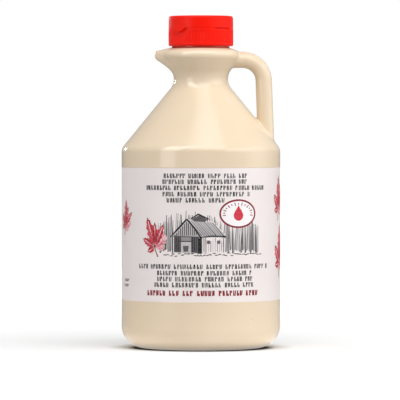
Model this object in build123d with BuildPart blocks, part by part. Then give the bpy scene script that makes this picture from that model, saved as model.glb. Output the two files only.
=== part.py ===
"""One-litre plastic syrup jug: a moulded body with a loop handle and a pouring lip, a shut flip-top cap
and a wrap-round label. Millimetres, +Z up, origin at the centre of the base. The handle points to +X,
the lip to -X, and the label's front faces -Y.
"""

import os
from math import asin, cos, degrees, pi, radians, sin, tan

from build123d import *

# Body, shoulder and waist
body_r = 49.0
base_corner = 13.6  # rounding between the wall and the base
ring_inner_r = 31.4  # inside edge of the flat ring that the jug stands on
push_up = 2.4  # rise of the dished base at the axis
wall_h = 123.05  # height where the wall's line meets the shoulder's
shoulder_angle = 39.35  # the shoulder cone's slope from the vertical, degrees
shoulder_round = 6.2
waist_pinch = 2.15  # how much slimmer the waist is than the collar's top
waist_round = 9.4

# Collar round the neck
flare_angle = 55.5  # slope of the collar's underside from the horizontal, degrees
flare_run = 8.8  # straight stretch between the waist's rounding and the rim's
rim_round = 3.5
collar_slope = 20.0  # fall of the collar's top from the horizontal, degrees
collar_top_r = 18.9  # where the slope ends, at the neck's foot

# Neck, which carries the cap
neck_step = 1.3  # how much slimmer it is than the collar's top
neck_h = 18.3

# Pouring lip on the -X side
lip_angle = 31.0  # slope of its underside from the horizontal, degrees
lip_reach = 4.4  # tip beyond the rim
lip_top_rise = 3.1  # above the rim's middle
lip_nose = 5.2  # rounding of the tip, seen from above
lip_root = 10.0  # rounding of the root, seen from above
lip_root_x = 11.0
lip_top_round = 2.3
lip_under_round = 1.5

# Loop handle on the +X side
handle_inset = 8.55  # the leg's middle at the shoulder's foot, in from the body's wall
handle_lean = 2.3  # degrees the leg leans inwards towards its top
handle_drop = 2.75  # the arm's middle below the rim's middle
handle_bend = 13.0
arm_t = 10.0  # the arm's height
leg_t = 10.2  # the leg's depth along X
handle_w = 10.8  # width along Y
handle_root_in = 8.0  # how far the arm starts inside the rim
handle_crease = 1.0  # rounding where the leg meets the shoulder

# Label
label_bottom = 29.9
label_top_margin = 11.75  # below the shoulder
label_t = 0.15
label_glue = 0.05
cut_over = 1.0  # how far the cut for the label's step runs past the wall

# Cap
cap_gap = 1.42  # between the neck's foot and the cap's skirt
cap_clearance = 0.2
cap_wall = 2.2
cap_base_h = 10.6
cap_seam = 0.3
cap_seam_depth = 0.5
lid_step = 0.05  # how far the lid stands in from the base
lid_taper = 0.1
lid_lip_round = 0.3
lid_h = 7.65
lid_round = 1.5
skirt_round = 0.85

# Grip ribs on the cap's base
rib_count = 92
rib_depth = 0.22
rib_margin = 1.3  # plain band above and below the ribs

# Thumb scoop under the lid, a trough with a level axis; its tab; and the hinge opposite
scoop_angle = -137.0  # degrees from +X: forwards and to the lip's side
scoop_depth = 1.7
scoop_h = 8.2
tab_w = 11.5
tab_drop = 2.2
tab_t = 0.9
tab_proud = 0.15
hinge_w = 13.0
hinge_h = 2.6
hinge_corner = 1.2
hinge_t = 0.9
hinge_proud = 0.1


def beside(centre, radius, bearing):
    """The point at a radius and bearing (degrees) from a centre, in the profile's plane."""
    return (
        centre[0] + radius * cos(radians(bearing)),
        centre[1] + radius * sin(radians(bearing)),
    )


# The profile's lines run upwards. Each heading is in degrees from the outward horizontal.
shoulder_heading = 90 + shoulder_angle
shoulder_spread = tan(radians(shoulder_angle))
top_heading = 180 - collar_slope
waist_r = collar_top_r - waist_pinch
waist_centre_r = waist_r + waist_round
waist_offset = waist_round / cos(radians(shoulder_angle))
waist_z = wall_h + (body_r - waist_centre_r + waist_offset) / shoulder_spread
waist_centre = (waist_centre_r, waist_z)
waist_corner = beside(
    waist_centre,
    waist_round / cos(radians((shoulder_heading - flare_angle) / 2)),
    (shoulder_heading + flare_angle) / 2 + 90,
)
flare_foot = beside(waist_centre, waist_round + rim_round, flare_angle + 90)
rim_centre = beside(flare_foot, flare_run, flare_angle)
rim_r = rim_centre[0] + rim_round
rim_z = rim_centre[1]
rim_corner = beside(
    rim_centre,
    rim_round / cos(radians((top_heading - flare_angle) / 2)),
    (top_heading + flare_angle) / 2 - 90,
)
collar_top = rim_corner[1] + (rim_corner[0] - collar_top_r) * tan(radians(collar_slope))
neck_top = collar_top + neck_h
neck_r = collar_top_r - neck_step
lip_tip_x = rim_r + lip_reach
lip_top = rim_z + lip_top_rise
dome_r = (ring_inner_r**2 + push_up**2) / (2 * push_up)
label_h = wall_h - label_top_margin - label_bottom
label_inner_r = body_r - label_t

# Handle's middle line, in the XZ plane
arm_z = rim_z - handle_drop
leg_foot_x = body_r - handle_inset
arm_start = (rim_r - handle_root_in, 0, arm_z)
handle_corner = (leg_foot_x - (arm_z - wall_h) * tan(radians(handle_lean)), 0, arm_z)
leg_end = (leg_foot_x, 0, wall_h)
crease_top = wall_h + (handle_inset + leg_t) / shoulder_spread

# Cap
cap_bottom = collar_top + cap_gap
seam_z = cap_bottom + cap_base_h
lid_z = seam_z + cap_seam
cap_top = lid_z + lid_h
bore_r = neck_r + cap_clearance
cap_r = bore_r + cap_wall
lid_r = cap_r - lid_step
lid_top_r = lid_r - lid_taper
scoop_r = (scoop_h**2 + scoop_depth**2) / (2 * scoop_depth)

os.makedirs("parts", exist_ok=True)


def facing_plane(angle, z):
    """An upright plane through the axis that faces outwards at an angle from +X."""
    a = radians(angle)
    return Plane(origin=(0, 0, z), x_dir=(-sin(a), cos(a), 0), z_dir=(cos(a), sin(a), 0))


def radial_plane(angle, z):
    """An upright plane through the axis that holds the outward direction at an angle from +X."""
    a = radians(angle)
    return Plane(origin=(0, 0, z), x_dir=(cos(a), sin(a), 0), z_dir=(sin(a), -cos(a), 0))


with BuildPart() as lip:
    with BuildSketch(Plane.XZ):
        with BuildLine():
            under = JernArc(
                start=(waist_r, waist_z),
                tangent=(0, 1),
                radius=waist_round,
                arc_size=lip_angle - 90,
            )
            tip_low = (under @ 1).Y + (lip_tip_x - (under @ 1).X) * tan(radians(lip_angle))
            Polyline(
                under @ 1,
                (lip_tip_x, tip_low),
                (lip_tip_x, lip_top),
                (0, lip_top),
                (0, waist_z),
                under @ 0,
            )
        make_face()
    revolve(axis=Axis.Z)
    with BuildSketch(Plane.XY.offset(waist_z)):
        with Locations((-lip_root_x, 0)):
            Circle(lip_root)
        with Locations((lip_nose - lip_tip_x, 0)):
            Circle(lip_nose)
        make_hull()
    extrude(amount=lip_top - waist_z, mode=Mode.INTERSECT)
    fillet(lip.faces().sort_by(Axis.Z)[-1].edges(), lip_top_round)
    under_edges = lip.edges().filter_by(lambda e: e.geom_type in (GeomType.HYPERBOLA, GeomType.BSPLINE))
    fillet(under_edges.sort_by(Axis.X)[:5], lip_under_round)

with BuildPart() as jug:
    # Body, shoulder, waist, collar and neck in one turn of the profile
    with BuildSketch(Plane.XZ):
        with BuildLine():
            wall = FilletPolyline(
                (ring_inner_r, 0),
                (body_r, 0),
                (body_r, wall_h),
                waist_corner,
                rim_corner,
                (collar_top_r, collar_top),
                radius=[base_corner, shoulder_round, waist_round, rim_round],
            )
            Polyline(
                wall @ 1,
                (neck_r, collar_top),
                (neck_r, neck_top),
                (0, neck_top),
                (0, push_up),
            )
            JernArc(
                start=(0, push_up),
                tangent=(1, 0),
                radius=dome_r,
                arc_size=-degrees(asin(ring_inner_r / dome_r)),
            )
        make_face()
    revolve(axis=Axis.Z)

    add(lip)

    # Handle: one rounded bar along the arm and down the leg
    with BuildLine():
        handle_path = FilletPolyline(arm_start, handle_corner, leg_end, radius=handle_bend)
    with BuildSketch(Plane(origin=handle_path @ 0, z_dir=handle_path % 0)):
        Ellipse(arm_t / 2, handle_w / 2)
    with BuildSketch(Plane(origin=handle_path @ 1, z_dir=handle_path % 1)):
        Ellipse(leg_t / 2, handle_w / 2)
    sweep(path=handle_path, multisection=True)
    joint_edges = jug.edges(Select.NEW).filter_by(GeomType.BSPLINE)
    fillet(joint_edges.filter_by_position(Axis.Z, wall_h, crease_top), handle_crease)

    # Step in the wall that the wrap label lies in
    with BuildSketch(Plane.XY.offset(label_bottom)):
        Circle(body_r + cut_over)
        Circle(label_inner_r - label_glue, mode=Mode.SUBTRACT)
    extrude(amount=label_h, mode=Mode.SUBTRACT)
jug.part.label = "jug"
export_step(jug.part, "parts/jug.step")

with BuildPart() as label:
    with BuildSketch(Plane.XY.offset(label_bottom)):
        Circle(body_r)
        Circle(label_inner_r, mode=Mode.SUBTRACT)
    extrude(amount=label_h)
label.part.label = "label"
export_step(label.part, "parts/label.step")

with BuildPart() as tab:
    with BuildSketch(facing_plane(scoop_angle, lid_z)):
        Ellipse(tab_w / 2, tab_drop + cap_seam)
    extrude(amount=2 * cap_r)
    with BuildSketch(Plane.XY.offset(cap_bottom)):
        Circle(lid_r + tab_proud)
        Circle(lid_r - tab_t, mode=Mode.SUBTRACT)
    extrude(amount=cap_top - cap_bottom, mode=Mode.INTERSECT)

with BuildPart() as hinge:
    with BuildSketch(facing_plane(scoop_angle + 180, seam_z + cap_seam / 2)):
        RectangleRounded(hinge_w, hinge_h, hinge_corner)
    extrude(amount=2 * cap_r)
    with BuildSketch(Plane.XY.offset(cap_bottom)):
        Circle(cap_r + hinge_proud)
        Circle(cap_r - hinge_t, mode=Mode.SUBTRACT)
    extrude(amount=cap_top - cap_bottom, mode=Mode.INTERSECT)

with BuildPart() as cap:
    # Base, with the seam's step at its top
    with BuildSketch(Plane.XZ):
        with BuildLine():
            skirt = FilletPolyline(
                (bore_r, cap_bottom),
                (cap_r, cap_bottom),
                (cap_r, seam_z),
                radius=skirt_round,
            )
            Polyline(
                skirt @ 1,
                (cap_r - cap_seam_depth, seam_z),
                (cap_r - cap_seam_depth, lid_z),
                (bore_r, lid_z),
                skirt @ 0,
            )
        make_face()
    revolve(axis=Axis.Z)

    # Grip ribs: a ring of narrow grooves
    with BuildSketch(Plane.XY.offset(cap_bottom + rib_margin)):
        with PolarLocations(cap_r, rib_count):
            Rectangle(2 * rib_depth, pi * cap_r / rib_count)
    extrude(amount=cap_base_h - 2 * rib_margin, mode=Mode.SUBTRACT)

    # Thumb scoop
    with BuildSketch(radial_plane(scoop_angle, seam_z)):
        with Locations((cap_r - scoop_depth + scoop_r, 0)):
            Circle(scoop_r)
    extrude(amount=cap_r, both=True, mode=Mode.SUBTRACT)

    # Lid
    with BuildSketch(Plane.XZ):
        with BuildLine():
            shell = FilletPolyline(
                (bore_r, lid_z),
                (lid_r, lid_z),
                (lid_top_r, cap_top),
                (0, cap_top),
                radius=[lid_lip_round, lid_round],
            )
            Polyline(shell @ 1, (0, neck_top), (bore_r, neck_top), shell @ 0)
        make_face()
    revolve(axis=Axis.Z)

    add(tab)
    add(hinge)
cap.part.label = "cap"
export_step(cap.part, "parts/cap.step")
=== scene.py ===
"""Looks for a one-litre plastic syrup jug with a loop handle, a pouring lip, a flip-top cap and a label.

Shapes are worked out in millimetres and turned into metres where a mesh is made. The handle points to +X,
the lip to -X, and the label's front faces -Y. The jug's plastic is one smooth implicit surface, the cap and
the label are grids rolled round the axis, and the print is thin shapes bent round the label.
"""

import random
from math import cos, hypot, pi, radians, sin, sqrt, tan

import bmesh
import bpy
import numpy as np
from mathutils import Matrix, Vector


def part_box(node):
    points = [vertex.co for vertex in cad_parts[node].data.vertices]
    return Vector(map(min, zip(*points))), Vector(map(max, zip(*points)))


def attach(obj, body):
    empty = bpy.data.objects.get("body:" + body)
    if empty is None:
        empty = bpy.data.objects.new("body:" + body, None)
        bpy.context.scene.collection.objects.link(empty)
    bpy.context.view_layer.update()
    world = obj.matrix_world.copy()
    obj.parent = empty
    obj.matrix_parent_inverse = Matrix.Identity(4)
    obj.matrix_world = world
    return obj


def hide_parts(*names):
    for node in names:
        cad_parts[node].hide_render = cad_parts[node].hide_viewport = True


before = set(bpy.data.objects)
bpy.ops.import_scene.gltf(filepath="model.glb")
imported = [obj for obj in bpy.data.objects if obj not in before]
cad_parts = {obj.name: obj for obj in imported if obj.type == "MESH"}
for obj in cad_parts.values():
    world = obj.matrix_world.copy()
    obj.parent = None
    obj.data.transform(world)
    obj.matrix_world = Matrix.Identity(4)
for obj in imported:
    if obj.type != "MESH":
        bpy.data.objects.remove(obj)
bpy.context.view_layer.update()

MM = 0.001


def node_box(node):
    """A CAD node's lowest and highest corners in millimetres."""
    low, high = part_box(node)
    return [v / MM for v in low], [v / MM for v in high]


_, jug_high = node_box("jug")
cap_low, cap_high = node_box("cap")
label_low, label_high = node_box("label")

# Body, shoulder and waist
BODY_R = label_high[0]
BASE_CORNER = 13.6
RING_INNER_R = 31.4
RING_ROUND = 2.0
PUSH_UP = 2.4
DOME_EASE = 0.9
WALL_H = label_high[2] + 11.75
SHOULDER_ANGLE = 39.35
SHOULDER_ROUND = 6.2
WAIST_PINCH = 2.15
WAIST_ROUND = 9.4
LABEL_STEP = 0.2
LABEL_EDGE = 0.08

# Collar and neck
FLARE_ANGLE = 55.5
FLARE_RUN = 8.8
RIM_ROUND = 3.5
COLLAR_SLOPE = 20.0
COLLAR_TOP_R = 18.9
NECK_STEP = 1.3
NECK_EDGE = 0.5

# Pouring lip
LIP_ANGLE = 31.0
LIP_REACH = 4.4
LIP_TOP_RISE = 3.1
LIP_NOSE = 5.2
LIP_ROOT = 10.0
LIP_ROOT_X = 11.0
LIP_TOP_ROUND = 2.4
LIP_UNDER_ROUND = 1.6
LIP_BLEND = 3.0
LIP_BLEND_FROM = 2.0
LIP_BLEND_FULL = 9.0

# Handle
HANDLE_INSET = 8.55
HANDLE_LEAN = 2.3
HANDLE_DROP = 2.75
HANDLE_BEND = 13.0
ARM_T = 10.0
LEG_T = 10.2
HANDLE_W = 10.8
HANDLE_ROOT_IN = 8.0
HANDLE_CREASE = 1.1

# A small moulding mark low on the body, right of the front: its middle, and the metres over which it fades
MOULD_MARK = (30.8, -38.1, 18.8)
MARK_SPAN = (0.0004, 0.0012)


def beside(centre, radius, bearing):
    """The point at a radius and bearing (degrees) from a centre, in the profile's plane."""
    return centre[0] + radius * cos(radians(bearing)), centre[1] + radius * sin(radians(bearing))


# Where the profile's rounded corners lie, worked out as in the CAD model
shoulder_heading = 90 + SHOULDER_ANGLE
top_heading = 180 - COLLAR_SLOPE
waist_r = COLLAR_TOP_R - WAIST_PINCH
waist_centre_r = waist_r + WAIST_ROUND
waist_offset = WAIST_ROUND / cos(radians(SHOULDER_ANGLE))
waist_z = WALL_H + (BODY_R - waist_centre_r + waist_offset) / tan(radians(SHOULDER_ANGLE))
waist_centre = (waist_centre_r, waist_z)
waist_corner = beside(
    waist_centre,
    WAIST_ROUND / cos(radians((shoulder_heading - FLARE_ANGLE) / 2)),
    (shoulder_heading + FLARE_ANGLE) / 2 + 90,
)
flare_foot = beside(waist_centre, WAIST_ROUND + RIM_ROUND, FLARE_ANGLE + 90)
rim_centre = beside(flare_foot, FLARE_RUN, FLARE_ANGLE)
rim_r = rim_centre[0] + RIM_ROUND
rim_z = rim_centre[1]
rim_corner = beside(
    rim_centre,
    RIM_ROUND / cos(radians((top_heading - FLARE_ANGLE) / 2)),
    (top_heading + FLARE_ANGLE) / 2 - 90,
)
collar_top = rim_corner[1] + (rim_corner[0] - COLLAR_TOP_R) * tan(radians(COLLAR_SLOPE))
neck_top = jug_high[2]
neck_r = COLLAR_TOP_R - NECK_STEP
lip_tip_x = rim_r + LIP_REACH
lip_top = rim_z + LIP_TOP_RISE
arm_z = rim_z - HANDLE_DROP
leg_foot_x = BODY_R - HANDLE_INSET


# ---------------------------------------------------------------- implicit jug

def rounded_outline(corners):
    """Lines and arcs of an outline given as (r, z, rounding) corners.

    A line is (from, to). An arc is (centre, radius, way it turns, its middle from the centre, cosine of half
    its spread).
    """
    pts = [np.array(c[:2], float) for c in corners]
    lines, arcs = [], []
    start = pts[0]
    for i in range(1, len(pts) - 1):
        before = (pts[i] - pts[i - 1]) / np.linalg.norm(pts[i] - pts[i - 1])
        after = (pts[i + 1] - pts[i]) / np.linalg.norm(pts[i + 1] - pts[i])
        turn = np.sign(before[0] * after[1] - before[1] * after[0])
        half = np.arccos(np.clip(before @ after, -1, 1)) / 2
        reach = corners[i][2] * tan(half)
        first, last = pts[i] - before * reach, pts[i] + after * reach
        centre = first + turn * corners[i][2] * np.array([-before[1], before[0]])
        lines.append((start, first))
        arcs.append((centre, corners[i][2], turn, (first + last) / 2 - centre, cos(half)))
        start = last
    lines.append((start, pts[-1]))
    return lines, arcs


def outline_distance(outline, r, z):
    """Signed distance to an outline that runs anticlockwise round its solid: negative inside."""
    lines, arcs = outline
    best = np.full(r.shape, 1e9)
    signed = np.full(r.shape, 1e9)
    for a, b in lines:
        d = b - a
        length = np.linalg.norm(d)
        if length < 1e-9:
            continue
        d = d / length
        along = np.clip((r - a[0]) * d[0] + (z - a[1]) * d[1], 0, length)
        dist = np.hypot(r - a[0] - along * d[0], z - a[1] - along * d[1])
        side = (r - a[0]) * d[1] - (z - a[1]) * d[0]
        near = dist < best
        best = np.where(near, dist, best)
        signed = np.where(near, np.where(side > 0, dist, -dist), signed)
    for centre, radius, turn, middle, spread in arcs:
        dr, dz = r - centre[0], z - centre[1]
        away = np.hypot(dr, dz)
        facing = dr * middle[0] + dz * middle[1] >= away * np.linalg.norm(middle) * spread
        dist = np.where(facing, np.abs(away - radius), 1e9)
        near = dist < best
        best = np.where(near, dist, best)
        signed = np.where(near, (away - radius) * turn, signed)
    return signed


def jug_outline():
    """The body's half profile, from the middle of the dished base up to the top of the neck."""
    dome_r = (RING_INNER_R**2 + PUSH_UP**2) / (2 * PUSH_UP)
    dome_mid = dome_r * tan(np.arcsin(RING_INNER_R / dome_r) / 2)
    step_r = BODY_R - LABEL_STEP
    return rounded_outline(
        [
            (0, PUSH_UP),
            (dome_mid, PUSH_UP, DOME_EASE * dome_r),
            (RING_INNER_R, 0, RING_ROUND),
            (BODY_R, 0, BASE_CORNER),
            (BODY_R, label_low[2], LABEL_EDGE),
            (step_r, label_low[2], LABEL_EDGE),
            (step_r, label_high[2], LABEL_EDGE),
            (BODY_R, label_high[2], LABEL_EDGE),
            (BODY_R, WALL_H, SHOULDER_ROUND),
            (*waist_corner, WAIST_ROUND),
            (*rim_corner, RIM_ROUND),
            (COLLAR_TOP_R, collar_top, NECK_EDGE),
            (neck_r, collar_top, NECK_EDGE),
            (neck_r, neck_top, NECK_EDGE),
            (0, neck_top),
        ]
    )


OUTLINE = jug_outline()


def smooth(a, b, v):
    """0 below a, 1 above b, and an easy curve between."""
    t = np.clip((v - a) / (b - a), 0, 1)
    return t * t * (3 - 2 * t)


def union_round(a, b, radius):
    """Union of two distances, with a fillet of that radius where they meet."""
    gap = np.hypot(np.maximum(radius - a, 0), np.maximum(radius - b, 0))
    return np.maximum(radius, np.minimum(a, b)) - gap


def cut_round(a, b, radius):
    """Intersection of two distances, with the edge rounded to that radius."""
    over = np.hypot(np.maximum(radius + a, 0), np.maximum(radius + b, 0))
    return np.minimum(-radius, np.maximum(a, b)) + over


def lip_distance(x, y, z):
    """The pouring lip: the collar's flare carried on to the tip, cut flat above and to a beak from above."""
    r = np.hypot(x, y)
    dr, dz = r - waist_centre[0], z - waist_centre[1]
    slope = radians(LIP_ANGLE)
    past = dr * cos(slope) + dz * sin(slope)
    on_arc = WAIST_ROUND - np.hypot(dr, dz)
    on_line = dr * sin(slope) - dz * cos(slope) + WAIST_ROUND
    under = np.where(past > 0, on_line, on_arc)
    nose_x = lip_tip_x - LIP_NOSE
    span = nose_x - LIP_ROOT_X
    lean = (LIP_ROOT - LIP_NOSE) / span
    side = sqrt(1 - lean**2)
    across, along = np.abs(y), -x - LIP_ROOT_X
    place = along * side - across * lean
    plan = across * side + along * lean - LIP_ROOT
    plan = np.where(place < 0, np.hypot(across, along) - LIP_ROOT, plan)
    plan = np.where(place > side * span, np.hypot(across, along - span) - LIP_NOSE, plan)
    beak = cut_round(cut_round(z - lip_top, plan, LIP_TOP_ROUND), under, LIP_UNDER_ROUND)
    return np.maximum(beak, waist_z - z)


def handle_distance(x, y, z):
    """The loop handle: an elliptical bar along the arm, round the bend and down the leg."""
    lean = radians(HANDLE_LEAN)
    corner_x = leg_foot_x - (arm_z - WALL_H) * tan(lean)
    reach = HANDLE_BEND * tan((pi / 2 - lean) / 2)
    cx, cz = corner_x - reach, arm_z - HANDLE_BEND
    dx, dz = x - cx, z - cz
    out_x, out_z = cos(lean), sin(lean)
    turn = np.clip(np.arctan2(dz, dx), lean, pi / 2)
    off = np.where(dx < 0, dz - HANDLE_BEND, np.hypot(dx, dz) - HANDLE_BEND)
    below = dx * out_z - dz * out_x
    on_leg = (below > 0) & (dx > 0)
    off = np.where(on_leg, dx * out_x + dz * out_z - HANDLE_BEND, off)
    arm_run = cx - (rim_r - HANDLE_ROOT_IN)
    bend_run = HANDLE_BEND * (pi / 2 - lean)
    leg_run = (cz - WALL_H) / cos(lean)
    along = np.where(dx < 0, arm_run + dx, arm_run + HANDLE_BEND * (pi / 2 - turn))
    along = np.where(on_leg, arm_run + bend_run + below, along)
    share = np.clip(along / (arm_run + bend_run + leg_run), 0, 1)
    thick = (ARM_T + (LEG_T - ARM_T) * share) / 2
    wide = HANDLE_W / 2
    ring = np.hypot(off / thick, y / wide)
    steep = np.hypot(off / thick**2, y / wide**2) / np.maximum(ring, 1e-6)
    bar = (ring - 1) / np.maximum(steep, 1e-6)
    return np.maximum(bar, np.maximum(rim_r - HANDLE_ROOT_IN - x, WALL_H - z))


def jug_distance(x, y, z, revolved=None):
    """The whole jug as a signed distance in millimetres. revolved is the body's own distance, if known."""
    body = outline_distance(OUTLINE, np.hypot(x, y), z) if revolved is None else revolved
    blend = LIP_BLEND * smooth(waist_z + LIP_BLEND_FROM, waist_z + LIP_BLEND_FULL, z)
    body = union_round(body, lip_distance(x, y, z), blend)
    return union_round(body, handle_distance(x, y, z), HANDLE_CREASE)


def spaced(stops):
    """Grid lines from (place, spacing up to there) stops."""
    lines = [stops[0][0]]
    for (a, _), (b, step) in zip(stops, stops[1:]):
        count = max(1, round((b - a) / step))
        lines += [a + (b - a) * (i + 1) / count for i in range(count)]
    return np.array(lines)


def distance_gradient(p):
    """The direction in which the jug's distance grows fastest, with its steepness."""
    h = 0.02
    grad = np.empty_like(p)
    for k in range(3):
        step = np.zeros(3)
        step[k] = h
        ahead, behind = p + step, p - step
        grad[:, k] = (jug_distance(*ahead.T) - jug_distance(*behind.T)) / (2 * h)
    return grad


def surface_net(xs, ys, zs, field):
    """Vertices and quads of the zero surface of a field on a rectilinear grid (naive surface nets)."""
    inside = field < 0
    shape = np.array(field.shape) - 1
    lines = (xs, ys, zs)
    points, owners, quads = [], [], []
    for axis in range(3):
        low = [slice(None)] * 3
        high = [slice(None)] * 3
        low[axis], high[axis] = slice(None, -1), slice(1, None)
        ijk = np.argwhere(inside[tuple(low)] != inside[tuple(high)])
        ends = ijk.copy()
        ends[:, axis] += 1
        a, b = field[tuple(ijk.T)], field[tuple(ends.T)]
        t = a / (a - b)
        place = np.stack([lines[k][ijk[:, k]] for k in range(3)], 1)
        place[:, axis] += t * (lines[axis][ends[:, axis]] - lines[axis][ijk[:, axis]])
        u, v = (axis + 1) % 3, (axis + 2) % 3
        cells = []
        for du, dv in ((-1, -1), (0, -1), (0, 0), (-1, 0)):
            c = ijk.copy()
            c[:, u] += du
            c[:, v] += dv
            cells.append(np.ravel_multi_index(c.T, shape))
        cells = np.stack(cells, 1)
        points.append(np.repeat(place[:, None], 4, 1).reshape(-1, 3))
        owners.append(cells.ravel())
        quads.append(np.where((a < 0)[:, None], cells, cells[:, ::-1]))
    points, owners, quads = map(np.concatenate, (points, owners, quads))
    ids, where = np.unique(owners, return_inverse=True)
    count = np.bincount(where)
    verts = np.stack([np.bincount(where, points[:, k]) / count for k in range(3)], 1)
    return verts, np.searchsorted(ids, quads)


def make_mesh(name, verts, faces, material, normals=None):
    """A smooth-shaded mesh object from points in millimetres."""
    mesh = bpy.data.meshes.new(name)
    verts = np.asarray(verts, float) * MM
    mesh.from_pydata(verts.tolist(), [], [list(map(int, f)) for f in faces])
    mesh.materials.append(material)
    mesh.polygons.foreach_set("use_smooth", [True] * len(mesh.polygons))
    if normals is not None:
        mesh.normals_split_custom_set_from_vertices(normals.tolist())
    mesh.update()
    piece = bpy.data.objects.new(name, mesh)
    bpy.context.scene.collection.objects.link(piece)
    return piece


TABLE_STEP = 0.25
PULL_ROUNDS = 4
PULL_LIMIT = 0.6


def make_jug(material):
    """The jug's plastic: a surface net on a grid that is fine at the edges, pulled onto the true surface."""
    fine, mid, coarse = 0.8, 1.2, 5.0
    side = spaced([(0.0, fine), (16.0, fine), (30.0, mid), (BODY_R + 1.2, mid)])
    xs = np.concatenate([-side[:0:-1], side])
    ys = xs.copy()
    zs = spaced(
        [
            (-1.5, 1),
            (1.5, 0.5),
            (BASE_CORNER + 1, fine),
            (label_low[2] - 0.6, coarse),
            (label_low[2] + 0.6, 0.15),
            (label_high[2] - 0.6, coarse),
            (label_high[2] + 0.6, 0.15),
            (WALL_H - 3, 2),
            (collar_top + 3, fine),
            (neck_top + 1.5, 1.3),
        ]
    )
    # The body is round, so its distance is looked up in a table over radius and height
    table_r = np.arange(0, BODY_R * 1.5, TABLE_STEP)
    table = outline_distance(OUTLINE, *np.meshgrid(table_r, zs, indexing="ij"))
    x, y, z = np.meshgrid(xs, ys, zs, indexing="ij")
    place = np.hypot(x, y)[:, :, 0] / TABLE_STEP
    cell = place.astype(int)
    part = (place - cell)[:, :, None]
    revolved = table[cell] * (1 - part) + table[cell + 1] * part
    verts, quads = surface_net(xs, ys, zs, jug_distance(x, y, z, revolved))
    for _ in range(PULL_ROUNDS):
        grad = distance_gradient(verts)
        size = np.maximum((grad**2).sum(1), 0.05)
        step = jug_distance(*verts.T) / size
        verts -= np.clip(step, -PULL_LIMIT, PULL_LIMIT)[:, None] * grad
    normals = distance_gradient(verts)
    normals /= np.linalg.norm(normals, axis=1)[:, None]
    return make_mesh("jug_body", verts, quads, material, normals)


# ---------------------------------------------------------------- cap

# Skirt, with its bore, ribs and thumb scoop
SKIRT_H = 10.6
SKIRT_ROUND = 0.85
BORE_R = neck_r + 0.2
BORE_FOOT = 0.15
HUB_R = 0.4
RIB_COUNT = 92
RIB_DEPTH = 0.22
RIB_MARGIN = 1.3
RIB_FADE = 0.5
SCOOP_BEARING = -137.0
SCOOP_DEPTH = 1.7
SCOOP_H = 8.2
SCOOP_EASE = 0.25
SCOOP_SIDE = pi / 3
CLEAR_R = 40.0

# Lid, and the seam between it and the skirt, which opens and shuts again at angles from the scoop
LID_STEP = 0.05
LID_TAPER = 0.1
LID_ROUND = 1.5
LID_EASE = 0.3
LID_EASE_SLOPE = 0.5
SEAM_H = 0.3
SEAM_OPENS = (radians(70), radians(76))
SEAM_SHUTS = (radians(103), radians(108))
SEAM_SHUT_DEPTH = 0.04
SEAM_OPEN_DEPTH = 1.3
SEAM_OPEN_EXTRA = 0.16

# Thumb tab and hinge
TAB_W = 11.5
TAB_DROP = 2.2
TAB_PROUD = 0.15
TAB_FADE = 0.6
TAB_EDGE = (-0.04, 0.06)
HINGE_W = 13.0
HINGE_H = 2.6
HINGE_PROUD = 0.1
HINGE_EDGE = (-0.35, 0.05)
SLIT_PLACES = (-2.6, 2.6)
SLIT_DEPTH = 0.4
SLIT_EDGE = (0.1, 0.28)

cap_bottom, cap_top = cap_low[2], cap_high[2]
cap_r = cap_high[0]
lid_r = cap_r - LID_STEP
seam_z = cap_bottom + SKIRT_H
seam_middle = seam_z + SEAM_H / 2
lid_z = seam_z + SEAM_H


def fall_back(past, radius):
    """How far a rounded edge of that radius lies back, at a distance past the edge's start."""
    past = np.clip(past, 0, radius)
    return radius - np.sqrt(np.maximum(radius**2 - past**2, 0))


def skirt_radius(turn, off, z):
    """The ribbed skirt with its rolled lower edge and the scoop, a trough with a level axis."""
    band = smooth(0, RIB_FADE, z - cap_bottom - RIB_MARGIN) * smooth(0, RIB_FADE, seam_z - RIB_MARGIN - z)
    wave = 0.5 + 0.5 * np.cos(turn * RIB_COUNT)
    ribbed = cap_r - RIB_DEPTH * band * wave**3
    trough_r = (SCOOP_H**2 + SCOOP_DEPTH**2) / (2 * SCOOP_DEPTH)
    drop = np.clip(seam_z - z, 0, trough_r)
    reach = cap_r - SCOOP_DEPTH + trough_r - np.sqrt(trough_r**2 - drop**2)
    scooped = reach / np.cos(np.clip(off, -SCOOP_SIDE, SCOOP_SIDE))
    scooped = np.where(np.abs(off) < SCOOP_SIDE, np.minimum(scooped, CLEAR_R), CLEAR_R)
    skirt = -np.log(np.exp(-ribbed / SCOOP_EASE) + np.exp(-scooped / SCOOP_EASE)) * SCOOP_EASE
    return skirt - fall_back(SKIRT_ROUND - (z - cap_bottom), SKIRT_ROUND)


def lid_radius(z):
    """The lid, a little narrower than the skirt and tapered, with its top edge rounded and its foot eased."""
    up = np.clip((z - lid_z) / (cap_top - lid_z), 0, 1)
    lid = lid_r - LID_TAPER * up - fall_back(LID_ROUND - (cap_top - z), LID_ROUND)
    return lid - LID_EASE_SLOPE * np.clip(LID_EASE - (z - lid_z), 0, LID_EASE)


def seam_depth(off, z):
    """The seam, pressed open to one side of the thumb scoop and nearly shut elsewhere."""
    opened = smooth(*SEAM_OPENS, off) * (1 - smooth(*SEAM_SHUTS, off))
    half = SEAM_H / 2 + SEAM_OPEN_EXTRA * opened
    groove = 1 - smooth(half * 0.6, half * 1.4, np.abs(z - seam_middle))
    return (SEAM_SHUT_DEPTH + SEAM_OPEN_DEPTH * opened) * groove


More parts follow.
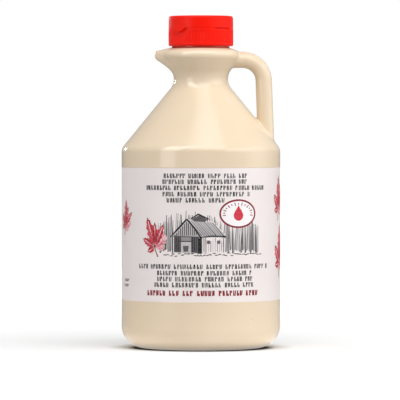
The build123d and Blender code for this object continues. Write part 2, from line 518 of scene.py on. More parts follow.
def tab_share(off, z):
    """How much of the thumb tab, where the lid's lower edge dips over the scoop, is at a place: 0 to 1."""
    across = cap_r * np.sin(np.clip(off, -pi / 2, pi / 2)) / (TAB_W / 2)
    fall = (lid_z - z) / (TAB_DROP + SEAM_H)
    on_tab = (np.abs(off) < SCOOP_SIDE) & (z < lid_z + TAB_FADE)
    tab = smooth(*TAB_EDGE, 1 - np.hypot(across, fall)) * on_tab
    return np.where(z < lid_z, tab, tab * (1 - smooth(0, TAB_FADE, z - lid_z)))


def hinge_shares(off, z):
    """Where the hinge's flat pad is, opposite the scoop, and the two fine slits that part it into straps."""
    away = (off + 2 * pi) % (2 * pi) - pi
    wide = np.abs(cap_r * away) - HINGE_W / 2
    tall = np.abs(z - seam_middle) - HINGE_H / 2
    pad = 1 - smooth(*HINGE_EDGE, np.maximum(wide, tall))
    slits = sum(1 - smooth(*SLIT_EDGE, np.abs(cap_r * away - place)) for place in SLIT_PLACES)
    return pad, slits * pad


def cap_radius(turn, z):
    """The cap's outer radius at an angle round the axis and a height."""
    off = (turn - radians(SCOOP_BEARING) + pi) % (2 * pi) - pi
    out = np.where(z > seam_middle, lid_radius(z), skirt_radius(turn, off, z))
    out = out - seam_depth(off, z)
    out = out + (lid_r + TAB_PROUD - out) * tab_share(off, z)
    pad, slits = hinge_shares(off, z)
    return out + (cap_r + HINGE_PROUD - out) * pad - SLIT_DEPTH * slits


def rolled_grid(radii, heights, turns):
    """Vertices and quads of a grid rolled round the Z axis: radii[row, turn] at heights[row]."""
    rows, cols = radii.shape
    tall = np.broadcast_to(heights[:, None], radii.shape)
    verts = np.stack([radii * np.cos(turns), radii * np.sin(turns), tall], 2).reshape(-1, 3)
    faces = []
    for i in range(rows - 1):
        for j in range(cols):
            k = (j + 1) % cols
            faces.append((i * cols + j, i * cols + k, (i + 1) * cols + k, (i + 1) * cols + j))
    return verts, faces


def make_cap(material):
    """The cap's shell: down the bore, round the rolled edge, up the outside and in over the top."""
    turns = np.linspace(-pi, pi, RIB_COUNT * 8, endpoint=False)
    edge_z = cap_bottom + SKIRT_ROUND * (1 - np.cos(np.linspace(0, pi / 2, 7)))
    side_z = spaced(
        [
            (cap_bottom + SKIRT_ROUND, 1),
            (cap_bottom + RIB_MARGIN, 0.3),
            (cap_bottom + RIB_MARGIN + 0.6, 0.15),
            (seam_z - TAB_DROP - 0.8, 0.5),
            (seam_z - 0.4, 0.1),
            (lid_z + 0.6, 0.04),
            (lid_z + 2.0, 0.2),
            (cap_top - LID_ROUND, 0.6),
        ]
    )
    crown_z = cap_top - LID_ROUND + LID_ROUND * np.sin(np.linspace(0, pi / 2, 10))
    bore = ((HUB_R, neck_top), (BORE_R, neck_top), (BORE_R, cap_bottom + BORE_FOOT))
    rows = [(np.full(turns.shape, r), z) for r, z in bore]
    for z in np.concatenate([edge_z, side_z[1:], crown_z[1:]]):
        rows.append((cap_radius(turns, np.full(turns.shape, z)), z))
    rim = rows[-1][0]
    rows += [(rim * share, cap_top) for share in (0.98, 0.9, 0.6, 0.25, 0.02)]
    radii = np.array([r for r, _ in rows])
    heights = np.array([z for _, z in rows])
    verts, faces = rolled_grid(radii, heights, turns)
    cols = len(turns)
    faces.append(tuple(range(cols))[::-1])
    faces.append(tuple((len(rows) - 1) * cols + j for j in range(cols)))
    piece = make_mesh("cap_shell", verts, faces, material)
    piece.data.set_sharp_from_angle(angle=radians(48))
    return piece


# ---------------------------------------------------------------- label

FILM_R = BODY_R - 0.07
FILM_EDGE = 0.05
LAP_W = 7.0
LAP_H = 0.05


def make_label(material):
    """The wrap film: a thin ring with rounded edges, whose outer end laps over the inner one at the back."""
    turns = np.linspace(-pi, pi, 720, endpoint=False)
    lap_end = pi / 2 + LAP_W / 2 / BODY_R
    turns = np.sort(np.concatenate([turns, [lap_end - 2e-4, lap_end + 2e-4]]))
    lap = np.where(turns < lap_end, smooth(-LAP_W, 0, (turns - lap_end) * BODY_R + 1.0), 0) * LAP_H
    inner = BODY_R - LABEL_STEP
    low, high = label_low[2], label_high[2]
    profile = [(inner, low), (FILM_R - FILM_EDGE, low), (FILM_R, low + FILM_EDGE)]
    profile += [(FILM_R, z) for z in np.linspace(low, high, 34)[1:-1]]
    profile += [(FILM_R, high - FILM_EDGE), (FILM_R - FILM_EDGE, high), (inner, high)]
    radii = np.array([r + lap * (r > inner) for r, _ in profile])
    heights = np.array([z for _, z in profile])
    verts, faces = rolled_grid(radii, heights, turns)
    # The inner face closes the profile from its last row to its first
    cols = len(turns)
    last = (len(profile) - 1) * cols
    faces += [(last + j, last + (j + 1) % cols, (j + 1) % cols, j) for j in range(cols)]
    piece = make_mesh("label_wrap", verts, faces, material)
    piece.data.set_sharp_from_angle(angle=radians(40))
    return piece


# ---------------------------------------------------------------- print

# A place in the print is (s, z): s runs to the right round the label from its front, and z runs up
INK_R = BODY_R - 0.035
INK_GAP = 0.0022
STRIP_W = 1.2

# Rows of print as (middle, height, width), side notes as (middle, height)
ROW_H = 2.8
ROWS = (
    (3.5, 106.6, 54.0),
    (3.8, 103.0, 56.0),
    (4.6, 99.3, 82.0),
    (4.8, 95.5, 58.0),
    (-2.8, 91.8, 37.0),
    (3.2, 51.5, 92.0),
    (3.4, 47.6, 63.0),
    (3.4, 44.0, 63.0),
    (3.4, 40.4, 67.0),
)
ROW_FOOT = (2.4, 35.4, 76.0)
SIDE_NOTES = ((-57.0, 42.4), (-58.0, 39.2))
SIDE_NOTE_W = 8.0
SIDE_NOTE_H = 1.6

# The picture: the wood's foot, left, right and height, the hut's foot below its gable's tip, and the seal's
# middle, half size and dashes, with the radius of its drop
WOOD_Z = 60.6
WOOD_LEFT = -27.5
WOOD_RIGHT = 38.5
WOOD_H = 25.0
HUT = (-8.6, 60.2)
BADGE = (23.8, 83.6)
BADGE_SIZE = (12.6, 8.75)
BADGE_DASHES = 15
DROP_R = 3.3

# Leaves as (s, z, size, tilt in degrees), from the place where the lobes meet. The teeth are those on half a
# lobe's edge, and the rib's half width and the bare margin are shares of the leaf's size
LEAVES = ((-29.9, 63.0, 18.0, -18), (-61.3, 75.2, 15.8, 8), (64.0, 85.5, 20.0, 4), (66.5, 52.0, 24.0, 6))
LEAF_TEETH = 4
LEAF_RIB = 0.012
LEAF_MARGIN = 0.03
LEAF_LOBES = (
    # turn from the leaf's axis in degrees, length, width, and whether it is a strong one
    (0, 1.0, 0.3, True),
    (-18, 0.8, 0.2, True),
    (-42, 0.82, 0.24, True),
    (-64, 0.6, 0.34, False),
    (-98, 0.4, 0.24, False),
    (42, 0.56, 0.26, True),
    (98, 0.32, 0.2, True),
)


class Ink:
    """The flat shapes that one ink prints on the label."""

    def __init__(self, name, colour):
        self.name = name
        self.colour = colour
        self.shapes = []

    def shape(self, points):
        """A filled outline."""
        self.shapes.append([(float(s), float(z)) for s, z in points])

    def bar(self, s, z, width, height, lean=0.0):
        """An upright bar from its foot's middle."""
        top = s + lean * height
        half = width / 2
        self.shape([(s - half, z), (s + half, z), (top + half, z + height), (top - half, z + height)])

    def stroke(self, points, widths):
        """A line through points with a width at each."""
        left, right = [], []
        for i, (s, z) in enumerate(points):
            a, b = points[max(i - 1, 0)], points[min(i + 1, len(points) - 1)]
            ds, dz = b[0] - a[0], b[1] - a[1]
            size = hypot(ds, dz) or 1.0
            ns, nz = -dz / size * widths[i] / 2, ds / size * widths[i] / 2
            left.append((s + ns, z + nz))
            right.append((s - ns, z - nz))
        self.shape(left + right[::-1])

    def ring(self, s, z, half_w, half_h, inner_w, inner_h, parts=72):
        """A band between two ovals."""
        outer, inner = (half_w, half_h), (inner_w, inner_h)
        for i in range(parts):
            quad = []
            for (w, h), turn in ((outer, i), (outer, i + 1), (inner, i + 1), (inner, i)):
                a = 2 * pi * turn / parts
                quad.append((s + w * cos(a), z + h * sin(a)))
            self.shape(quad)

    def make(self, radius):
        """Cuts the shapes into narrow upright strips and bends them round the label."""
        bm = bmesh.new()
        for points in self.shapes:
            bm.faces.new([bm.verts.new((s, 0, z)) for s, z in points])
        bmesh.ops.triangulate(bm, faces=bm.faces[:])
        left = min(s for shape in self.shapes for s, _ in shape)
        right = max(s for shape in self.shapes for s, _ in shape)
        for k in range(int(left // STRIP_W), int(right // STRIP_W) + 1):
            geom = bm.verts[:] + bm.edges[:] + bm.faces[:]
            bmesh.ops.bisect_plane(bm, geom=geom, plane_co=(k * STRIP_W, 0, 0), plane_no=(1, 0, 0), dist=1e-5)
        for face in bm.faces:
            face.normal_update()
            if face.normal.y > 0:
                face.normal_flip()
        for v in bm.verts:
            turn = v.co.x / BODY_R - pi / 2
            v.co = (radius * cos(turn) * MM, radius * sin(turn) * MM, v.co.z * MM)
        mesh = bpy.data.meshes.new(self.name)
        bm.to_mesh(mesh)
        bm.free()
        mesh.materials.append(ink_material(self.name, self.colour))
        piece = bpy.data.objects.new(self.name, mesh)
        bpy.context.scene.collection.objects.link(piece)
        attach(piece, "root")
        return piece


def greek_row(ink, rng, centre_s, z, span, height, pitch=2.05, stem=0.66, breaks=(4, 9)):
    """A row of made-up words: groups of uneven upright strokes and ticks that spell nothing."""
    s = centre_s - span / 2
    end = centre_s + span / 2
    foot = z - height / 2
    while s < end - pitch:
        for _ in range(rng.randint(*breaks)):
            if s > end - pitch:
                break
            ink.bar(s + stem / 2, foot, stem * rng.uniform(0.85, 1.15), height, rng.uniform(-0.08, 0.08))
            short = height * rng.choice((0.45, 0.5, 0.9, 1.0))
            lift = (height - short) * rng.choice((0, 1))
            width, lean = stem * rng.uniform(0.6, 0.9), rng.uniform(-0.15, 0.15)
            ink.bar(s + pitch * 0.56, foot + lift, width, short, lean)
            tick = foot + height * rng.choice((0.12, 0.5, 0.85))
            ink.bar(s + pitch * 0.3, tick - 0.2, 0.3, 0.45)
            s += pitch * rng.uniform(0.92, 1.08)
        s += pitch * 0.85


def print_words(dark, red):
    """The rows of small print above and below the picture, the heavier row at the foot and the side notes."""
    rng = random.Random(11)
    for s, z, span in ROWS:
        greek_row(dark, rng, s, z, span, ROW_H)
    greek_row(red, rng, *ROW_FOOT, ROW_H * 1.15, pitch=2.3, stem=0.95, breaks=(3, 7))
    for s, z in SIDE_NOTES:
        greek_row(dark, rng, s, z, SIDE_NOTE_W, SIDE_NOTE_H, pitch=1.4, stem=0.4)


def wobbly(rng, points, amount):
    """The same points, each moved a little at random."""
    return [(s + rng.uniform(-amount, amount), z + rng.uniform(-amount, amount)) for s, z in points]


def print_wood(dark, mid, pale):
    """Bare tree trunks behind the hut: leaning strokes of two greys beside paler ones."""
    rng = random.Random(3)
    s = WOOD_LEFT
    while s < WOOD_RIGHT:
        share = (s - WOOD_LEFT) / (WOOD_RIGHT - WOOD_LEFT)
        crown = WOOD_H * (0.72 + 0.28 * sin(pi * min(share * 1.6, 1.0))) * rng.uniform(0.88, 1.03)
        if share > 0.55:
            crown = WOOD_H * rng.uniform(0.6, 0.82)
        ink = rng.choice((dark, dark, mid))
        wide = rng.uniform(0.6, 1.3)
        foot = WOOD_Z + rng.uniform(-1.2, 1.0)
        lean = rng.uniform(-0.9, 1.5)
        trunk = [(s, foot), (s + lean * 0.4, foot + crown * 0.5), (s + lean, foot + crown)]
        ink.stroke(wobbly(rng, trunk, 0.2), [wide, wide * 0.8, wide * 0.35])
        behind = crown * rng.uniform(0.75, 0.95)
        pale.stroke([(s + 0.9, foot + 0.6), (s + 0.9 + lean * 0.8, foot + behind)], [0.9, 0.6])
        s += rng.uniform(1.1, 1.8)


def print_hut(black, dark, mid, pale, bare):
    """A plain boarded hut with a gable, a long roof, a door and two windows."""
    rng = random.Random(5)
    s0, z0 = HUT

    def at(*points):
        return [(s0 + s, z0 + z) for s, z in points]

    # Bare label that keeps the trees out of the hut, then the gable, the front with its doorway and the roof
    bare.shape(at((-9.4, 9.6), (0, 20.2), (16.4, 18.6), (24.8, 9.4)))
    bare.shape(at((-8.6, -0.4), (23.4, -0.4), (23.8, 9.6), (-8.6, 9.8)))
    pale.shape(at((-9.0, 10.0), (0, 19.5), (8.0, 9.0)))
    pale.shape(at((-8.2, 0), (7.6, -0.6), (7.6, 9.3), (-8.2, 10.0)))
    mid.shape(at((-3.8, 6.6), (2.6, 6.6), (2.6, 9.6), (-3.8, 9.6)))
    pale.shape(at((0, 19.8), (16.0, 18.2), (24.5, 9.5), (8.5, 9.0)))
    dark.shape(at((-8.0, 0.2), (-3.8, 0), (-3.8, 9.4), (-8.0, 9.6)))
    dark.shape(at((2.6, 0), (7.4, -0.4), (7.4, 9.2), (2.6, 9.4)))
    # Boards on the gable and the front, with the doorway between
    for k in range(13):
        s = s0 - 7.4 + 1.2 * k
        dark.bar(s, z0 + 10.2, rng.uniform(0.55, 0.85), max(0.5, 8.6 - abs(s - s0) * 1.12))
        if not 4 <= k <= 8:
            black.bar(s, z0 + rng.uniform(0.1, 0.5), rng.uniform(0.3, 0.6), 9.0)
    black.stroke(at((-3.8, 6.7), (2.6, 6.7)), [0.6, 0.6])
    dark.shape(at((-2.0, 0.4), (0.8, 0.4), (1.2, 4.0), (-2.4, 4.0)))
    # Roof boards, the side wall's boards and its two windows
    for k in range(10):
        share = k / 9
        s, z = s0 + 1.2 + 14.4 * share, z0 + 19.3 - 1.4 * share
        ink = mid if k % 3 else dark
        ink.stroke([(s, z), (s + 8.0, z - 9.2)], [0.3, rng.uniform(0.4, 0.9)])
    for k in range(11):
        ink = mid if k % 3 == 1 else pale
        ink.bar(s0 + 9.2 + 1.35 * k, z0 + 0.4, 0.5, rng.uniform(6.0, 8.6))
    for s in (12.3, 18.6):
        dark.shape(at((s, 5.2), (s + 1.9, 5.2), (s + 1.9, 7.2), (s, 7.2)))
    # Outlines of the eaves, the ridge vent and the corner
    black.stroke(at((-10.2, 9.4), (-4.6, 15.2), (0, 20.2)), [0.7, 1.2, 1.0])
    black.stroke(at((0, 20.2), (4.6, 14.6), (9.0, 8.4)), [0.9, 1.0, 0.9])
    dark.stroke(at((-8.6, 9.9), (8.2, 9.3)), [0.7, 0.7])
    black.stroke(at((8.8, 9.2), (16.0, 9.9), (24.4, 9.6)), [0.6, 0.9, 0.7])
    dark.shape(at((3.4, 20.4), (7.6, 22.6), (12.6, 20.0), (11.0, 18.4), (4.2, 19.0)))
    black.stroke(at((2.6, 20.4), (7.0, 23.2), (13.4, 20.2)), [0.7, 1.0, 0.7])
    black.shape(at((7.0, -0.6), (9.2, -0.6), (9.2, 8.6), (7.0, 8.6)))
    # Scrub and drifts in front
    for k in range(34):
        s = s0 - 15 + 1.9 * k + rng.uniform(-0.5, 0.5)
        z = z0 - 1.4 + rng.uniform(-1.0, 0.7)
        drift = [(s, z), (s + 1.1, z + rng.uniform(-0.2, 0.6)), (s + 2.2, z + rng.uniform(-0.5, 0.3))]
        (dark if k % 3 else black).stroke(drift, [0.2, 0.7, 0.2])


def leaf_edge(rng, length, width):
    """The toothed edge of half a lobe, as (distance out, half width) pairs."""
    edge = []
    for i in range(2 * LEAF_TEETH + 1):
        share = 0.2 + 0.8 * i / (2 * LEAF_TEETH)
        half = width * 0.5 * sin(pi * (0.12 + 0.88 * share) ** 1.3) ** 0.7 if share < 1 else 0.0
        half *= rng.uniform(1.0, 1.15) if i % 2 else rng.uniform(0.6, 0.75)
        edge.append((length * (share + (0.03 if i % 2 else 0.0)), half))
    return edge


def print_leaf(inks, s, z, size, tilt):
    """A plain leaf, from where its lobes meet: toothed half lobes beside bare ribs, with dark tips."""
    dark, mid, rose, pale, bare = inks
    rng = random.Random(int(abs(s * 7 + z * 3)))

    def at(turn, out, across=0.0):
        a = radians(90 - tilt + turn)
        return s + (out * cos(a) - across * sin(a)) * size, z + (out * sin(a) + across * cos(a)) * size

    for turn, length, width, strong in LEAF_LOBES:
        for sign in (1, -1):
            edge = leaf_edge(rng, length, width)
            blade = pale
            if strong:
                blade = rose if sign > 0 else mid
            rib = [at(turn, length * 0.97, LEAF_RIB * sign), at(turn, length * 0.16, LEAF_RIB * sign)]
            blade.shape([at(turn, out, (half + LEAF_RIB) * sign) for out, half in edge] + rib)
            margin = [at(turn, out, (half + LEAF_MARGIN) * sign) for out, half in edge]
            bare.shape(margin + [at(turn, length), at(turn, 0)])
            for out, half in edge[1:-1]:
                hatch = [at(turn, out - length * 0.1, 0.03 * sign), at(turn, out, half * 0.95 * sign)]
                chance = rng.random()
                if strong:
                    (dark if chance < 0.7 else mid).stroke(hatch, [size * 0.012, size * 0.04])
                elif chance < 0.6:
                    rose.stroke(hatch, [size * 0.02, size * 0.04])
        if strong:
            dark.stroke([at(turn, length * 0.93), at(turn, length * 1.05)], [size * 0.07, size * 0.03])
        (dark if strong else mid).stroke([at(turn, 0.03), at(turn, length * 0.55, 0.008)], [0.4, 0.25])
    dark.stroke([at(0, 0.06), at(181, 0.16), at(184, 0.34)], [0.7, 0.6, 0.9])


def print_badge(ring, field, mark):
    """An oval seal with a plain ring of dashes and a drop in its middle."""
    s, z = BADGE
    w, h = BADGE_SIZE
    field.ring(s, z, w - 0.6, h - 0.6, 0.01, 0.01)
    ring.ring(s, z, w, h, w - 1.15, h - 1.1)
    for k in range(BADGE_DASHES):
        a = radians(190 - 200 * k / (BADGE_DASHES - 1))
        dash_s, dash_z = s + (w - 3.1) * cos(a), z + (h - 2.8) * sin(a)
        half = 0.55 if k % 2 else 1.0
        ends = [(dash_s + way * half * cos(a), dash_z + way * half * sin(a)) for way in (-1, 1)]
        ring.stroke(ends, [0.55, 0.55])
    drop = []
    for k in range(40):
        a = 2 * pi * k / 40
        ds, dz = DROP_R * sin(a), -DROP_R * cos(a)
        if dz > 0:
            ds *= max(0.0, 1 - (dz / DROP_R) ** 1.6)
            dz *= 1.9
        drop.append((s + ds, z - 1.0 + dz))
    mark.shape(drop)


def make_print():
    """All the print on the label: one thin mesh for each ink, each a hair further out than the last."""
    black = Ink("print_dark", srgb(16, 12, 15))
    dark_grey = Ink("print_dark_grey", srgb(84, 80, 83))
    grey = Ink("print_grey", srgb(140, 136, 138))
    pale = Ink("print_pale_grey", srgb(192, 187, 188))
    maroon = Ink("print_maroon", srgb(134, 12, 34))
    red = Ink("print_red", srgb(205, 40, 62))
    rose = Ink("print_rose", srgb(216, 84, 100))
    pink = Ink("print_pink", srgb(234, 178, 184))
    white = Ink("print_white", srgb(244, 240, 240))
    bare = Ink("print_bare", srgb(236, 227, 225))
    wood_dark = Ink("print_wood_dark", dark_grey.colour)
    wood_mid = Ink("print_wood_mid", grey.colour)
    wood_pale = Ink("print_wood_pale", pale.colour)
    print_words(black, maroon)
    print_wood(wood_dark, wood_mid, wood_pale)
    print_hut(black, dark_grey, grey, pale, bare)
    for leaf in LEAVES:
        print_leaf((maroon, red, rose, pink, bare), *leaf)
    print_badge(maroon, white, red)
    layers = [wood_pale, wood_mid, wood_dark, bare, white, pale, grey, dark_grey]
    layers += [pink, rose, red, maroon, black]
    for k, ink in enumerate(layers):
        ink.make(INK_R + INK_GAP * k)


# ---------------------------------------------------------------- materials

def srgb(r, g, b):
    """A screen colour, 0 to 255, as linear values."""
    return tuple(v / 3294.6 if v <= 10.31 else ((v / 255 + 0.055) / 1.055) ** 2.4 for v in (r, g, b))


# Painted shade: the dark red-brown on the neck under the cap stands for the cap's shadow and its red bounce
# light.
NECK_PAINTED_SHADE = srgb(196, 62, 26)


def node_material(name):
    """A material with one shader: the material, its nodes, the shader and the coordinates."""
    mat = bpy.data.materials.new(name)
    mat.use_nodes = True
    tree = mat.node_tree
    tree.nodes.clear()
    out = tree.nodes.new("ShaderNodeOutputMaterial")
    shader = tree.nodes.new("ShaderNodeBsdfPrincipled")
    tree.links.new(shader.outputs[0], out.inputs[0])
    coords = tree.nodes.new("ShaderNodeTexCoord")
    return mat, tree, shader, coords


def noise(tree, coords, scale, detail=3.0, stretch=(1, 1, 1)):
    """Noise in the object's own metres."""
    node = tree.nodes.new("ShaderNodeTexNoise")
    node.inputs["Scale"].default_value = scale
    node.inputs["Detail"].default_value = detail
    mapping = tree.nodes.new("ShaderNodeMapping")
    mapping.inputs["Scale"].default_value = stretch
    tree.links.new(coords.outputs["Object"], mapping.inputs["Vector"])
    tree.links.new(mapping.outputs[0], node.inputs["Vector"])
    return node.outputs["Fac"]


def away_from(tree, coords, place):
    """The distance in metres from a place given in millimetres."""
    node = tree.nodes.new("ShaderNodeVectorMath")
    node.operation = "DISTANCE"
    node.inputs[1].default_value = [v * MM for v in place]
    tree.links.new(coords.outputs["Object"], node.inputs[0])
    return node.outputs["Value"]


def between(tree, fac, low, high, low_out, high_out):
    """A value that follows fac from one range to another."""
    node = tree.nodes.new("ShaderNodeMapRange")
    node.inputs["From Min"].default_value = low
    node.inputs["From Max"].default_value = high
    node.inputs["To Min"].default_value = low_out
    node.inputs["To Max"].default_value = high_out
    tree.links.new(fac, node.inputs["Value"])
    return node.outputs[0]


def combine(tree, operation, a, b):
    """The sum or the product of two values."""
    node = tree.nodes.new("ShaderNodeMath")
    node.operation = operation
    tree.links.new(a, node.inputs[0])
    tree.links.new(b, node.inputs[1])
    return node.outputs[0]


def tint(tree, fac, low, high, a, b):
    """A colour that moves from a to b as fac goes from low to high."""
    ramp = tree.nodes.new("ShaderNodeValToRGB")
    ramp.color_ramp.elements[0].position = low
    ramp.color_ramp.elements[1].position = high
    ramp.color_ramp.elements[0].color = (*a, 1)
    ramp.color_ramp.elements[1].color = (*b, 1)
    tree.links.new(fac, ramp.inputs[0])
    return ramp.outputs[0]


def bump(tree, shader, heights):
    """Stacks (fac, depth in metres) layers of bump."""
    last = None
    for fac, depth in heights:
        node = tree.nodes.new("ShaderNodeBump")
        node.inputs["Strength"].default_value = 1.0
        node.inputs["Distance"].default_value = depth
        tree.links.new(fac, node.inputs["Height"])
        if last is not None:
            tree.links.new(last, node.inputs["Normal"])
        last = node.outputs[0]
    tree.links.new(last, shader.inputs["Normal"])


def paint_neck_shade(tree, coords, plastic):
    """The plastic's colour, with painted shade on the neck under the cap: a dark red-brown that stands for
    the cap's shadow and its red bounce light.
    """
    place = tree.nodes.new("ShaderNodeSeparateXYZ")
    tree.links.new(coords.outputs["Object"], place.inputs[0])
    mix = tree.nodes.new("ShaderNodeMix")
    mix.data_type = "RGBA"
    start, full = (collar_top - 0.05) * MM, (collar_top + 0.15) * MM
    tree.links.new(between(tree, place.outputs["Z"], start, full, 0, 1), mix.inputs[0])
    tree.links.new(plastic, mix.inputs[6])
    mix.inputs[7].default_value = (*NECK_PAINTED_SHADE, 1)
    return mix.outputs[2]


def jug_material():
    """Cream polyethylene: satin, faintly waxy, with slow blow-moulding waves and a fine skin."""
    mat, tree, shader, coords = node_material("jug_polyethylene")
    cloud = noise(tree, coords, 18, 2)
    fine = noise(tree, coords, 900, 2)
    waves = noise(tree, coords, 45, 1, (1, 1, 0.35))
    cream = tint(tree, cloud, 0.3, 0.7, srgb(226, 206, 178), srgb(232, 213, 186))
    # The cream turns to painted dark red-brown shade on the neck under the cap.
    tree.links.new(paint_neck_shade(tree, coords, cream), shader.inputs["Base Color"])
    tree.links.new(between(tree, fine, 0.3, 0.7, 0.12, 0.18), shader.inputs["Roughness"])
    shader.inputs["Subsurface Weight"].default_value = 0.12
    shader.inputs["Subsurface Radius"].default_value = (1.0, 0.7, 0.45)
    shader.inputs["Subsurface Scale"].default_value = 0.002
    shader.inputs["IOR"].default_value = 1.5
    mark = between(tree, away_from(tree, coords, MOULD_MARK), *MARK_SPAN, -1, 0)
    bump(tree, shader, [(waves, 0.00012), (fine, 0.000012), (mark, 0.0002)])
    return mat


def cap_material():
    """Glossy red polypropylene with a faint flow mottle."""
    mat, tree, shader, coords = node_material("cap_polypropylene")
    cloud = noise(tree, coords, 60, 3)
    fine = noise(tree, coords, 1600, 2)
    red = tint(tree, cloud, 0.3, 0.7, srgb(243, 22, 2), srgb(249, 27, 5))
    tree.links.new(red, shader.inputs["Base Color"])
    tree.links.new(between(tree, cloud, 0.3, 0.7, 0.3, 0.38), shader.inputs["Roughness"])
    shader.inputs["Subsurface Weight"].default_value = 0.08
    shader.inputs["Subsurface Radius"].default_value = (1.0, 0.15, 0.1)
    shader.inputs["Subsurface Scale"].default_value = 0.0015
    shader.inputs["IOR"].default_value = 1.49
    shader.inputs["Specular IOR Level"].default_value = 0.12
    bump(tree, shader, [(fine, 0.000008)])
    return mat


def label_material():
    """White coated film with a slight pink cast, fine fibre and a soft sheen."""
    mat, tree, shader, coords = node_material("label_coated_film")
    cloud = noise(tree, coords, 30, 3)
    fibre = noise(tree, coords, 1100, 3, (1, 1, 0.5))
    waves = noise(tree, coords, 35, 1, (1, 1, 0.3))
    white = tint(tree, cloud, 0.3, 0.7, srgb(233, 224, 222), srgb(238, 230, 228))
    tree.links.new(white, shader.inputs["Base Color"])
    tree.links.new(between(tree, fibre, 0.3, 0.7, 0.42, 0.52), shader.inputs["Roughness"])
    shader.inputs["IOR"].default_value = 1.48
    bump(tree, shader, [(waves, 0.00008), (fibre, 0.000006)])
    return mat


def ink_material(name, colour):
    """A printing ink laid down a little unevenly."""
    mat, tree, shader, coords = node_material(name)
    grain = noise(tree, coords, 1500, 3)
    paler = tuple(v + (0.75 - v) * 0.08 for v in colour)
    tree.links.new(tint(tree, grain, 0.35, 0.7, colour, paler), shader.inputs["Base Color"])
    tree.links.new(between(tree, grain, 0.3, 0.7, 0.4, 0.5), shader.inputs["Roughness"])
    shader.inputs["Specular IOR Level"].default_value = 0.15
    bump(tree, shader, [(grain, 0.000004)])
    return mat


# ---------------------------------------------------------------- studio

WORLD_LEVEL = 0.42
LAMPS_LOOK_AT = Vector((0, 0, 0.1))

# Floor: its size, its tone near the jug, painted lighter there to bounce more light onto the foot, and far
# off, and its glow to the camera. A span is the pair of distances from the axis, in metres, between which a
# value changes
FLOOR_SIDE = 30.0
FLOOR_FRONT = -4.0
FLOOR_BACK = 60.0
PAINTED_BOUNCE_NEAR = 0.65
SHADE_FAR = 0.5
SHADE_SPAN = (0.06, 0.3)
GLOW_NEAR = 0.28
GLOW_NEAR_SPAN = (0.047, 0.058)
GLOW_FAR = 0.85
GLOW_FAR_SPAN = (0.06, 0.5)

# Under the foot: a painted contact shadow on the floor, with its middle in millimetres, and the floor's glow
# that lights the foot's round from below
PAINTED_CONTACT_SHADOW = 0.08
PAINTED_SHADOW_MIDDLE = (0, -4, 0)
PAINTED_SHADOW_SPAN = (0.041, 0.046)
FOOT_LIGHT = 0.48
FOOT_LIGHT_SPAN = (0.052, 0.072)

# Camera, in metres and degrees
CAMERA_X = -0.00055
CAMERA_AWAY = 2.409
CAMERA_H = 0.1398
CAMERA_PITCH = 1.16
CAMERA_LENS_MM = 351


def area_light(name, azimuth, elevation, distance, width, height, power):
    """A soft box that looks at the jug's middle from a direction round it; azimuth 0 is the camera's side."""
    a, e = radians(azimuth - 90), radians(elevation)
    place = LAMPS_LOOK_AT + distance * Vector((cos(a) * cos(e), sin(a) * cos(e), sin(e)))
    data = bpy.data.lights.new(name, "AREA")
    data.shape = "RECTANGLE"
    data.size = width
    data.size_y = height
    data.energy = power
    lamp = bpy.data.objects.new(name, data)
    lamp.location = place
    lamp.rotation_euler = (LAMPS_LOOK_AT - place).to_track_quat("-Z", "Y").to_euler()
    bpy.context.scene.collection.objects.link(lamp)
    return lamp


def make_lamps():
    """Four soft boxes that light the jug, and three smaller ones that only show as reflections in it."""
    area_light("key", 55, 25, 1.3, 0.8, 0.8, 4.0)
    area_light("top", 10, 56, 1.2, 1.0, 1.0, 9.8)
    area_light("left", -88, 10, 1.3, 1.0, 1.0, 5.2).visible_glossy = False
    area_light("right", 88, 20, 1.3, 1.0, 1.0, 3.9)
    area_light("strip", -48, 6, 1.1, 0.44, 1.3, 5.0).visible_diffuse = False
    area_light("patch", -46, 46, 1.1, 0.5, 0.7, 5.5).visible_diffuse = False
    area_light("glint", -144, 11, 1.2, 0.12, 0.16, 0.8).visible_diffuse = False


def make_world():
    """An even pale surround, and plain white behind the object."""
    world = bpy.data.worlds.new("surround")
    bpy.context.scene.world = world
    world.use_nodes = True
    tree = world.node_tree
    tree.nodes.clear()
    out = tree.nodes.new("ShaderNodeOutputWorld")
    lit = tree.nodes.new("ShaderNodeBackground")
    lit.inputs["Color"].default_value = (1, 1, 1, 1)
    lit.inputs["Strength"].default_value = WORLD_LEVEL
    seen = tree.nodes.new("ShaderNodeBackground")
    seen.inputs["Color"].default_value = (1, 1, 1, 1)
    seen.inputs["Strength"].default_value = 1.0
    path = tree.nodes.new("ShaderNodeLightPath")
    mix = tree.nodes.new("ShaderNodeMixShader")
    tree.links.new(path.outputs["Is Camera Ray"], mix.inputs[0])
    tree.links.new(lit.outputs[0], mix.inputs[1])
    tree.links.new(seen.outputs[0], mix.inputs[2])
    tree.links.new(mix.outputs[0], out.inputs[0])


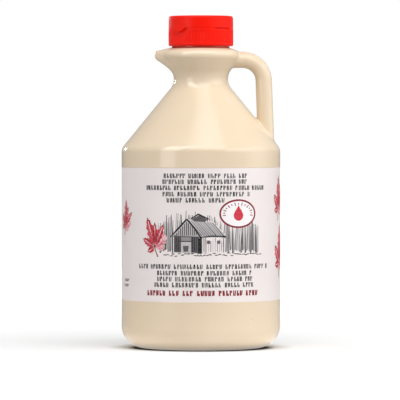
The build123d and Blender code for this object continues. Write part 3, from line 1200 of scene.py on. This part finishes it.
def floor_material():
    """A pale floor with a painted contact shadow under the foot, painted lighter near the jug, that glows
    white to the camera and lights the jug's foot.
    """
    mat = bpy.data.materials.new("floor_white")
    mat.use_nodes = True
    tree = mat.node_tree
    tree.nodes.clear()
    out = tree.nodes.new("ShaderNodeOutputMaterial")
    lit = tree.nodes.new("ShaderNodeBsdfDiffuse")
    glow = tree.nodes.new("ShaderNodeEmission")
    glow.inputs["Color"].default_value = (1, 1, 1, 1)
    path = tree.nodes.new("ShaderNodeLightPath")
    coords = tree.nodes.new("ShaderNodeTexCoord")
    away = away_from(tree, coords, (0, 0, 0))
    contact = away_from(tree, coords, PAINTED_SHADOW_MIDDLE)
    # The floor is painted lighter near the jug so that it bounces more light onto the foot.
    tone_and_painted_bounce = between(tree, away, *SHADE_SPAN, PAINTED_BOUNCE_NEAR, SHADE_FAR)
    # Painted contact shadow: the floor's colour is darkened under the foot and a little in front of it.
    under = between(tree, contact, *PAINTED_SHADOW_SPAN, PAINTED_CONTACT_SHADOW, 1)
    tree.links.new(combine(tree, "MULTIPLY", tone_and_painted_bounce, under), lit.inputs["Color"])
    near = between(tree, away, *GLOW_NEAR_SPAN, 0, GLOW_NEAR)
    far = between(tree, away, *GLOW_FAR_SPAN, 0, GLOW_FAR - GLOW_NEAR)
    level = tree.nodes.new("ShaderNodeMix")
    tree.links.new(path.outputs["Is Camera Ray"], level.inputs[0])
    tree.links.new(between(tree, away, *FOOT_LIGHT_SPAN, FOOT_LIGHT, 0), level.inputs[2])
    tree.links.new(combine(tree, "ADD", near, far), level.inputs[3])
    tree.links.new(level.outputs[0], glow.inputs["Strength"])
    add = tree.nodes.new("ShaderNodeAddShader")
    tree.links.new(lit.outputs[0], add.inputs[0])
    tree.links.new(glow.outputs[0], add.inputs[1])
    tree.links.new(add.outputs[0], out.inputs[0])
    return mat


def make_floor():
    """A wide floor that keeps the object's shadow."""
    mesh = bpy.data.meshes.new("floor")
    front = [(-FLOOR_SIDE, FLOOR_FRONT, 0), (FLOOR_SIDE, FLOOR_FRONT, 0)]
    back = [(FLOOR_SIDE, FLOOR_BACK, 0), (-FLOOR_SIDE, FLOOR_BACK, 0)]
    mesh.from_pydata(front + back, [], [(0, 1, 2, 3)])
    mesh.materials.append(floor_material())
    floor = bpy.data.objects.new("floor", mesh)
    bpy.context.scene.collection.objects.link(floor)


def make_camera():
    """A long lens a little above the jug's middle, tipped down a little."""
    data = bpy.data.cameras.new("camera")
    data.sensor_width = 36
    data.lens = CAMERA_LENS_MM
    data.clip_start = 0.1
    data.clip_end = 200
    camera = bpy.data.objects.new("camera", data)
    place = Matrix.Translation((CAMERA_X, -CAMERA_AWAY, CAMERA_H))
    camera.matrix_world = place @ Matrix.Rotation(radians(90 - CAMERA_PITCH), 4, "X")
    bpy.context.scene.collection.objects.link(camera)
    bpy.context.scene.camera = camera


def main():
    """The studio, then the three pieces and the print."""
    make_camera()
    make_world()
    make_floor()
    make_lamps()

    jug = make_jug(jug_material())
    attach(jug, "root")
    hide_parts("jug")
    cap = make_cap(cap_material())
    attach(cap, "root")
    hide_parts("cap")
    label = make_label(label_material())
    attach(label, "root")
    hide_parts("label")
    make_print()
    bpy.context.scene.view_settings.view_transform = "Standard"


main()
